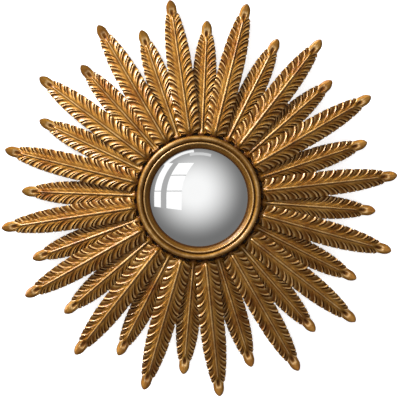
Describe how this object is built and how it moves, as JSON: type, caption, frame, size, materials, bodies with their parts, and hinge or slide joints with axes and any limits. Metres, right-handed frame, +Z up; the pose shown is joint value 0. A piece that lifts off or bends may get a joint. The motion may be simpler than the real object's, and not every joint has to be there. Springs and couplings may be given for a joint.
{
  "type": "sunburst wall mirror",
  "caption": "Round convex mirror in a turned gilt bezel, framed by two overlapping layers of carved and gilded feather leaves set like a sunburst, with a keyhole plate in its back.",
  "frame": {"origin": "middle of the flat back of the back board, where the mirror bears on the wall", "axes": "+Z up, -Y out of the wall towards the viewer, +X to the viewer's right"},
  "size_m": [0.7944, 0.0516, 0.7952],
  "materials": {
    "leaf_gilt": "antique gold over carved wood, worn bright on the ridges and dark brown in the grooves",
    "bezel_gilt": "smooth brown-toned antique gold over turned wood",
    "mirror_glass": "silvered convex glass",
    "board": "dark brown stain, matt",
    "hanging_plate": "plain steel"
  },
  "bodies": {
    "root": {"back_board": "board", "hanging_plate": "hanging_plate", "mirror_glass": "mirror_glass", "bezel_ring": "bezel_gilt", "long_leaf_01": "leaf_gilt", "long_leaf_02": "leaf_gilt", "long_leaf_03": "leaf_gilt", "long_leaf_04": "leaf_gilt", "long_leaf_05": "leaf_gilt", "long_leaf_06": "leaf_gilt", "long_leaf_07": "leaf_gilt", "long_leaf_08": "leaf_gilt", "long_leaf_09": "leaf_gilt", "long_leaf_10": "leaf_gilt", "long_leaf_11": "leaf_gilt", "long_leaf_12": "leaf_gilt", "long_leaf_13": "leaf_gilt", "long_leaf_14": "leaf_gilt", "long_leaf_15": "leaf_gilt", "long_leaf_16": "leaf_gilt", "short_leaf_01": "leaf_gilt", "short_leaf_02": "leaf_gilt", "short_leaf_03": "leaf_gilt", "short_leaf_04": "leaf_gilt", "short_leaf_05": "leaf_gilt", "short_leaf_06": "leaf_gilt", "short_leaf_07": "leaf_gilt", "short_leaf_08": "leaf_gilt", "short_leaf_09": "leaf_gilt", "short_leaf_10": "leaf_gilt", "short_leaf_11": "leaf_gilt", "short_leaf_12": "leaf_gilt", "short_leaf_13": "leaf_gilt", "short_leaf_14": "leaf_gilt", "short_leaf_15": "leaf_gilt", "short_leaf_16": "leaf_gilt"}
  },
  "joints": []
}
